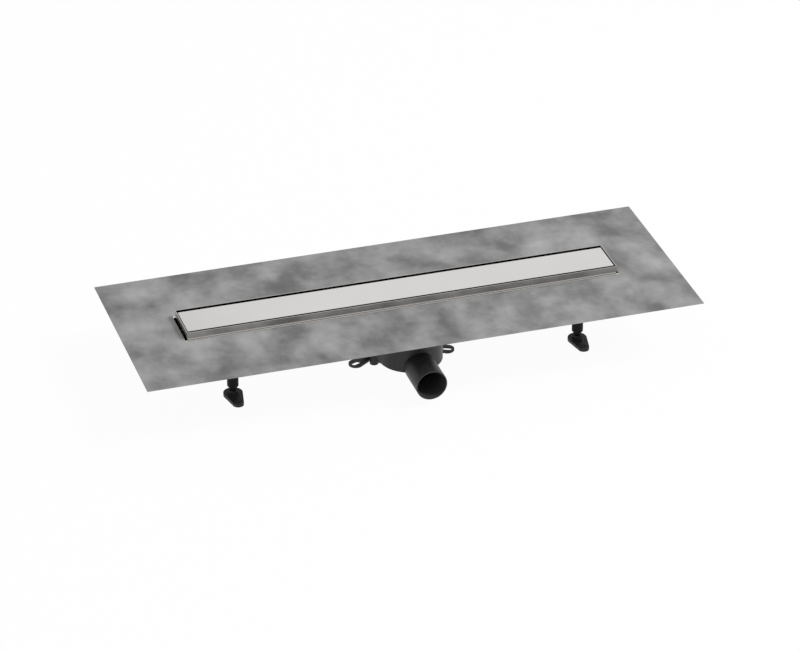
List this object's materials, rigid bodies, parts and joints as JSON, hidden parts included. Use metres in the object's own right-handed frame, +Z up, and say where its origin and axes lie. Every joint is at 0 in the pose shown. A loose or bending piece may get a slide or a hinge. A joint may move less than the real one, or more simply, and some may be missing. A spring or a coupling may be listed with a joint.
{
  "type": "linear shower drain",
  "caption": "Long floor drain with a flat steel cover in a raised frame, a bonded sealing sheet, levelling feet and a low black trap with a side outlet pipe.",
  "frame": {"origin": "on the floor under the trap's inlet axis, at the centre of the drain's length and width", "axes": "+X along the drain's length, +Z up, -Y the way the outlet pipe points"},
  "size_m": [0.9, 0.343, 0.1175],
  "materials": {
    "cover_steel": "fine brushed",
    "frame_steel": "satin",
    "zinc_steel": "zinc plated",
    "grey_membrane": "mottled matt",
    "trap_plastic": "satin",
    "foot_plastic": "satin",
    "black_plastic": "matt",
    "seal_rubber": "matt"
  },
  "bodies": {
    "drain": {"cover_plate": "cover_steel", "cover_pads": "black_plastic", "top_frame": "frame_steel", "frame_spacers": "black_plastic", "channel_tray": "frame_steel", "bonding_flange": "frame_steel", "sealing_sheet": "grey_membrane", "dip_tube": "black_plastic", "hair_strainer": "frame_steel", "studs": "zinc_steel"},
    "trap": {"trap_tub": "trap_plastic", "trap_lid": "trap_plastic", "inlet_seal": "seal_rubber"},
    "leg_front_left": {"leg_barrel_front_left": "foot_plastic", "lock_nut_front_left": "zinc_steel"},
    "foot_front_left": {"foot_base_front_left": "foot_plastic"},
    "leg_front_right": {"leg_barrel_front_right": "foot_plastic", "lock_nut_front_right": "zinc_steel"},
    "foot_front_right": {"foot_base_front_right": "foot_plastic"},
    "leg_rear_left": {"leg_barrel_rear_left": "foot_plastic", "lock_nut_rear_left": "zinc_steel"},
    "foot_rear_left": {"foot_base_rear_left": "foot_plastic"},
    "leg_rear_right": {"leg_barrel_rear_right": "foot_plastic", "lock_nut_rear_right": "zinc_steel"},
    "foot_rear_right": {"foot_base_rear_right": "foot_plastic"}
  },
  "joints": [
    {"name": "trap_swivel", "type": "hinge", "parent": "drain", "child": "trap", "pos_m": [0, 0, 0.075], "axis": [0, 0, 1], "continuous": true},
    {"name": "leg_height_front_left", "type": "slide", "parent": "drain", "child": "leg_front_left", "axis": [0, 0, -1], "range_m": [-0.005, 0.022]},
    {"name": "foot_swivel_front_left", "type": "hinge", "parent": "leg_front_left", "child": "foot_front_left", "pos_m": [-0.2846, -0.0474, 0.005], "axis": [0, 0, 1], "continuous": true},
    {"name": "leg_height_front_right", "type": "slide", "parent": "drain", "child": "leg_front_right", "axis": [0, 0, -1], "range_m": [-0.005, 0.022]},
    {"name": "foot_swivel_front_right", "type": "hinge", "parent": "leg_front_right", "child": "foot_front_right", "pos_m": [0.2846, -0.0474, 0.005], "axis": [0, 0, 1], "continuous": true},
    {"name": "leg_height_rear_left", "type": "slide", "parent": "drain", "child": "leg_rear_left", "axis": [0, 0, -1], "range_m": [-0.005, 0.022]},
    {"name": "foot_swivel_rear_left", "type": "hinge", "parent": "leg_rear_left", "child": "foot_rear_left", "pos_m": [-0.2846, 0.0474, 0.005], "axis": [0, 0, 1], "continuous": true},
    {"name": "leg_height_rear_right", "type": "slide", "parent": "drain", "child": "leg_rear_right", "axis": [0, 0, -1], "range_m": [-0.005, 0.022]},
    {"name": "foot_swivel_rear_right", "type": "hinge", "parent": "leg_rear_right", "child": "foot_rear_right", "pos_m": [0.2846, 0.0474, 0.005], "axis": [0, 0, 1], "continuous": true}
  ]
}
